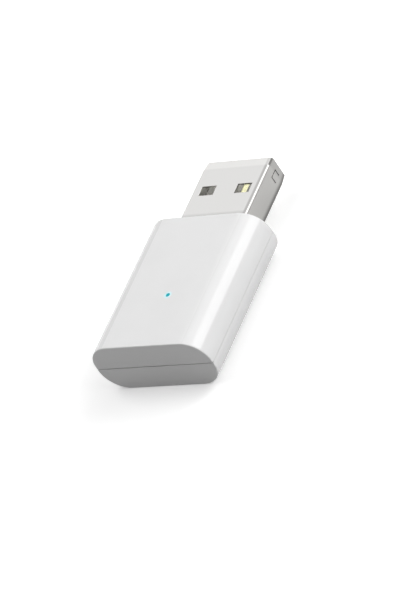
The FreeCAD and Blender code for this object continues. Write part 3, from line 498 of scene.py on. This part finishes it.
def nickel_plate():
    """Painted light in the plating's colour: a painted highlight on the swaged nose and painted shade beside
    it, painted shade in the folds and down the side walls, darkest at their foot, and a painted shadow by
    the housing. The cut edges are bare steel, partly darkened as painted shade."""
    finish, tree, shader = new_finish("nickel_plate", Metallic=1.0)
    low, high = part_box("plug_shell")
    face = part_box("upper_shell")[1].y
    axes = placed(tree, "ShaderNodeSeparateXYZ", {0: stick_place(tree)}).outputs
    into_nose = {"Value": axes["Y"], "From Min": high.y - NOSE_LENGTH, "From Max": high.y,
                 "To Max": NOSE_DROP}
    drop = placed(tree, "ShaderNodeMapRange", into_nose).outputs["Result"]
    from_middle = sum_of(tree, "ADD", sum_of(tree, "ABSOLUTE", axes["X"]), drop)
    inset = sum_of(tree, "SUBTRACT", PLUG_HALF_WIDTH, from_middle)
    turned = sum_of(tree, "DIVIDE", inset, FOLD_RADIUS)
    on_left = sum_of(tree, "LESS_THAN", axes["X"], 0.0)
    narrower = sum_of(tree, "MULTIPLY", on_left, LEFT_FOLD_NARROWER)
    fold = rising(tree, sum_of(tree, "ADD", turned, narrower), *FOLD_SHADE_STARTS)
    nose = rising(tree, axes["Y"], high.y - NOSE_PAINTED_SPAN[0], high.y - NOSE_PAINTED_SPAN[1])
    nose_shift = sum_of(tree, "MULTIPLY", nose, NOSE_FOLD_NARROWER)
    down = rising(tree, sum_of(tree, "SUBTRACT", turned, nose_shift), *FOLD_DARKENS)
    side = rising(tree, turned, *SIDE_STARTS)
    foot = rising(tree, sum_of(tree, "SUBTRACT", axes["Z"], drop), low.z + FOOT_SHADE_SPAN[0], low.z + FOOT_SHADE_SPAN[1])
    clear = rising(tree, axes["Y"], face + HOUSING_SHADOW_SPAN[0], face + HOUSING_SHADOW_SPAN[1])
    rim = rising(tree, vector_sum(tree, "DOT_PRODUCT", facing(tree), (0, 1, 0)), *RIM_FACING)
    grain = with_effect(tree, fine_grain, Grain_Size=0.16 * MM, Stretch=(1, 0.05, 1), Cloud_Size=5 * MM)
    edge = with_effect(tree, soft_edge, Radius=0.05 * MM)
    # Painted highlight on the nose's broad faces, with a lighter painted shade round its folds and a deeper
    # one on its sides.
    broad = blended(tree, nose, opaque(NICKEL), opaque(NICKEL_NOSE_PAINTED_HIGHLIGHT))
    # Painted shadow on the broad faces next to the housing, fading outwards.
    broad = blended(tree, clear, opaque(HOUSING_PAINTED_SHADOW), broad)
    # Painted shade into the folds, narrower on the left fold, and a deeper painted shade further round them.
    into = blended(tree, nose, opaque(FOLD_PAINTED_SHADE), opaque(NOSE_FOLD_PAINTED_SHADE))
    turn = blended(tree, down, into, opaque(FOLD_PAINTED_DEEP_SHADE))
    # Painted shade on the side walls, deeper beside the nose.
    wall = blended(tree, nose, opaque(SIDE_WALL_PAINTED_SHADE), opaque(NOSE_SIDE_PAINTED_SHADE))
    rounded = blended(tree, side, blended(tree, fold, broad, turn), wall)
    # Painted shade towards the foot of the side walls and folds.
    plated = blended(tree, sum_of(tree, "MAXIMUM", foot, sum_of(tree, "SUBTRACT", 1.0, fold)),
                     opaque(FOOT_PAINTED_SHADE), rounded)
    # Bare steel at the cut edges and rims, whose darkening is partly painted shade.
    lost = sum_of(tree, "MULTIPLY", side, CUT_EDGE_LESS_ON_SIDES)
    bare = sum_of(tree, "SUBTRACT", CUT_EDGE_SHARE, lost)
    cut = sum_of(tree, "MULTIPLY", sum_of(tree, "MAXIMUM", edge["Edge"], rim), bare)
    roughness = sum_of(tree, "ADD", 0.07, sum_of(tree, "MULTIPLY", grain["Cloud"], 0.06))
    fed(tree, shader, Base_Color=blended(tree, cut, plated, opaque(CUT_STEEL_AND_SHADE)), Roughness=roughness,
        Normal=bumped(tree, grain["Height"], 0.0015 * MM, edge["Normal"]))
    return finish


dress(nickel_plate(), "plug_shell")

# Housing: two mouldings of white ABS that close round the board and the plug and peg together at the
# corners. The flat upper face is satin and the rest is polished. A fine line runs round where the two meet.

WHITE_ABS = (0.79, 0.79, 0.79)
WHITE_ABS_IN_THE_FLOW = (0.775, 0.775, 0.775)
WHITE_ABS_EDGE_HIGHLIGHT = (0.83, 0.83, 0.83)
POLISHED_ROUGHNESS = 0.05
SATIN_ROUGHER = 0.45
SATIN_FACING = (0.975, 0.998)
LIGHT_RIM = 0.36 * MM
PAINTED_GLOW_REACH = 0.8 * MM
PAINTED_GLOW_TINT = (0.66, 0.82, 0.84)
PAINTED_GLOW = (0.02, 0.12, 0.13)


def light_place():
    """The middle of the light's hole, on the upper face."""
    low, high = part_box("light_pipe")
    return Vector(((low.x + high.x) / 2, (low.y + high.y) / 2, high.z))


def satin_abs():
    """Round the light's hole a glow and a pale cyan tint are painted on as emission and colour, standing in
    for the light that the thin white plastic passes.
    """
    finish, tree, shader = new_finish("satin_abs", Emission_Strength=1.0)
    grain = with_effect(tree, fine_grain, Grain_Size=0.22 * MM, Cloud_Size=6 * MM)
    edge = with_effect(tree, soft_edge, Radius=0.05 * MM)
    flow = rising(tree, grain["Cloud"], 0.35, 0.7)
    plain = blended(tree, flow, opaque(WHITE_ABS), opaque(WHITE_ABS_IN_THE_FLOW))
    # Painted highlight: the white is lighter along the edges.
    plain = blended(tree, sum_of(tree, "MULTIPLY", edge["Edge"], 0.5), plain, opaque(WHITE_ABS_EDGE_HIGHLIGHT))
    from_light = vector_sum(tree, "LENGTH", vector_sum(tree, "SUBTRACT", stick_place(tree), light_place()))
    # Painted glow round the light's hole: emission and a pale cyan tint in the colour.
    glow = sum_of(tree, "SUBTRACT", 1.0, rising(tree, from_light, LIGHT_RIM, PAINTED_GLOW_REACH))
    up = vector_sum(tree, "DOT_PRODUCT", facing(tree), (0, 0, 1))
    rougher = sum_of(tree, "MULTIPLY", rising(tree, up, *SATIN_FACING), SATIN_ROUGHER)
    satin = sum_of(tree, "ADD", POLISHED_ROUGHNESS, rougher)
    roughness = sum_of(tree, "ADD", satin, sum_of(tree, "MULTIPLY", grain["Cloud"], 0.04))
    fed(tree, shader, Base_Color=blended(tree, glow, plain, opaque(PAINTED_GLOW_TINT)), Roughness=roughness,
        Emission_Color=blended(tree, glow, opaque(UNLIT), opaque(PAINTED_GLOW)),
        Normal=bumped(tree, grain["Height"], 0.0015 * MM, edge["Normal"]))
    return finish


dress(satin_abs(), "lower_shell", "upper_shell")

# Light pipe: a stepped pin of clear acrylic, turned and polished, pressed up into its boss under the light's
# hole. It carries the lamp's cyan light to the face, and is brightest at its tip.

ACRYLIC = (0.3, 0.62, 0.66)
TIP_SHADE = (0.002, 0.02, 0.024)
TIP_GLOW = (0.002, 0.35, 0.42)
PIPE_GLOW = (0.01, 0.14, 0.17)
TIP_FADE = 0.6 * MM


def lit_acrylic():
    finish, tree, shader = new_finish("lit_acrylic", Roughness=0.12, Specular_IOR_Level=0.25,
                                      Emission_Strength=1.0)
    tip = light_place().z
    height = vector_sum(tree, "DOT_PRODUCT", stick_place(tree), (0, 0, 1))
    near_tip = rising(tree, height, tip - TIP_FADE, tip)
    grain = with_effect(tree, fine_grain, Grain_Size=0.1 * MM, Stretch=(1, 1, 0.1), Cloud_Size=MM)
    tint = blended(tree, grain["Cloud"], opaque(ACRYLIC), shaded(ACRYLIC, 0.8))
    fed(tree, shader, Base_Color=blended(tree, near_tip, tint, opaque(TIP_SHADE)),
        Emission_Color=blended(tree, near_tip, opaque(PIPE_GLOW), opaque(TIP_GLOW)),
        Normal=bumped(tree, grain["Height"], 0.004 * MM))
    return finish


dress(lit_acrylic(), "light_pipe")

# Floor and light: the stick lies on a wide sheet of white paper in a dim white room, among five soft lamps.
# Two behind its right side are mirrored as the bright lines along it, and the others fill in.

PAPER_WHITE = 1.0
PAPER_AS_LIT = 0.43
PAPER_LIFT = 0.25
ROOM_LIGHT = 0.23
FLOOR_SIDE = 12.0
LAMP_DISTANCE = 0.95
LAMPS = {
    "key_lamp": {"towards": (0.557, 0.565, 0.608), "width": 0.59, "length": 0.4, "strength": 3.42,
                 "gleams": True},
    "wash_lamp": {"towards": (0.87, 0.1, 0.48), "width": 0.6, "length": 0.6, "strength": 2.36},
    "fill_lamp": {"towards": (0.11, 0.565, 0.82), "width": 0.42, "length": 0.9, "strength": 0.63,
                  "gleams": True},
    "back_lamp": {"towards": (0.5, 0.82, 0.3), "width": 0.5, "length": 0.5, "strength": 3.9},
    "left_lamp": {"towards": (-0.5, 0.1, 0.86), "width": 0.6, "length": 0.6, "strength": 3.26},
}


def seen_directly(tree):
    """1 for what the camera sees, straight or in metal or glass, and 0 for light that falls on things."""
    rays = placed(tree, "ShaderNodeLightPath").outputs
    straight = sum_of(tree, "ADD", rays["Is Camera Ray"], rays["Is Glossy Ray"])
    return sum_of(tree, "MINIMUM", sum_of(tree, "ADD", straight, rays["Is Transmission Ray"]), 1.0)


def paper_floor():
    mesh = bpy.data.meshes.new("paper_floor")
    half = FLOOR_SIDE / 2
    corners = [(-half, -half, 0), (half, -half, 0), (half, half, 0), (-half, half, 0)]
    mesh.from_pydata(corners, [], [(0, 1, 2, 3)])
    floor = bpy.data.objects.new("paper_floor", mesh)
    bpy.context.scene.collection.objects.link(floor)
    finish, tree, shader = new_finish("white_paper", Roughness=1.0, Specular_IOR_Level=0.0,
                                      Emission_Strength=1.0)
    seen = seen_directly(tree)
    fed(tree, shader, Base_Color=blended(tree, seen, opaque([PAPER_AS_LIT] * 3), opaque([PAPER_WHITE] * 3)),
        Emission_Color=blended(tree, seen, opaque(UNLIT), opaque([PAPER_LIFT] * 3)))
    mesh.materials.append(finish)
    return floor


def soft_lamp(name, towards, width, length, strength, gleams=False):
    """A soft lamp whose long side lies along the stick; a strength of 1 is as bright as white paper. Only a
    lamp that gleams is mirrored in plastic and metal."""
    data = bpy.data.lights.new(name, "AREA")
    data.shape = "RECTANGLE"
    data.size = width
    data.size_y = length
    data.energy = strength * math.pi * width * length
    lamp = bpy.data.objects.new(name, data)
    back = Vector(towards).normalized()
    lamp.location = back * LAMP_DISTANCE
    across = Vector((0, 1, 0)).cross(back).normalized()
    lamp.rotation_euler = Matrix((across, back.cross(across), back)).transposed().to_euler()
    lamp.visible_camera = False
    lamp.visible_glossy = gleams
    bpy.context.scene.collection.objects.link(lamp)


def white_room():
    room = bpy.data.worlds.new("white_room")
    bpy.context.scene.world = room
    room.use_nodes = True
    tree = room.node_tree
    tree.nodes.clear()
    lit = placed(tree, "ShaderNodeBackground", {"Color": (1, 1, 1, 1), "Strength": ROOM_LIGHT})
    white = placed(tree, "ShaderNodeBackground", {"Color": (1, 1, 1, 1), "Strength": 1.0})
    either = {0: seen_directly(tree), 1: lit.outputs[0], 2: white.outputs[0]}
    joined = placed(tree, "ShaderNodeMixShader", either)
    placed(tree, "ShaderNodeOutputWorld", {"Surface": joined.outputs[0]})


paper_floor()
for lamp_name, lamp_size in LAMPS.items():
    soft_lamp(lamp_name, **lamp_size)
white_room()

# Camera: it looks down on the near end, the right side and the light, leaning over so that the stick stands
# up in the picture, from far off and with a long lens, as the photograph was taken.

AIM = Vector((2.777, -6.756, 4.35)) * MM
CAMERA_DISTANCE = 705.4 * MM
CAMERA_AZIMUTH = math.radians(45.57)
CAMERA_ELEVATION = math.radians(36.25)
CAMERA_ROLL = math.radians(34.99)
CAMERA_LENS = 293.9

camera_data = bpy.data.cameras.new("camera")
camera_data.lens = CAMERA_LENS
camera_data.clip_start = 0.01
camera_data.clip_end = 100
camera = bpy.data.objects.new("camera", camera_data)
turned = Matrix.Rotation(CAMERA_AZIMUTH, 4, "Z") @ Matrix.Rotation(math.pi / 2 - CAMERA_ELEVATION, 4, "X")
turned = turned @ Matrix.Rotation(-CAMERA_ROLL, 4, "Z")
backwards = turned.to_3x3() @ Vector((0, 0, 1))
camera.matrix_world = Matrix.Translation(AIM + CAMERA_DISTANCE * backwards) @ turned
bpy.context.scene.collection.objects.link(camera)
bpy.context.scene.camera = camera
bpy.context.scene.view_settings.view_transform = "Standard"
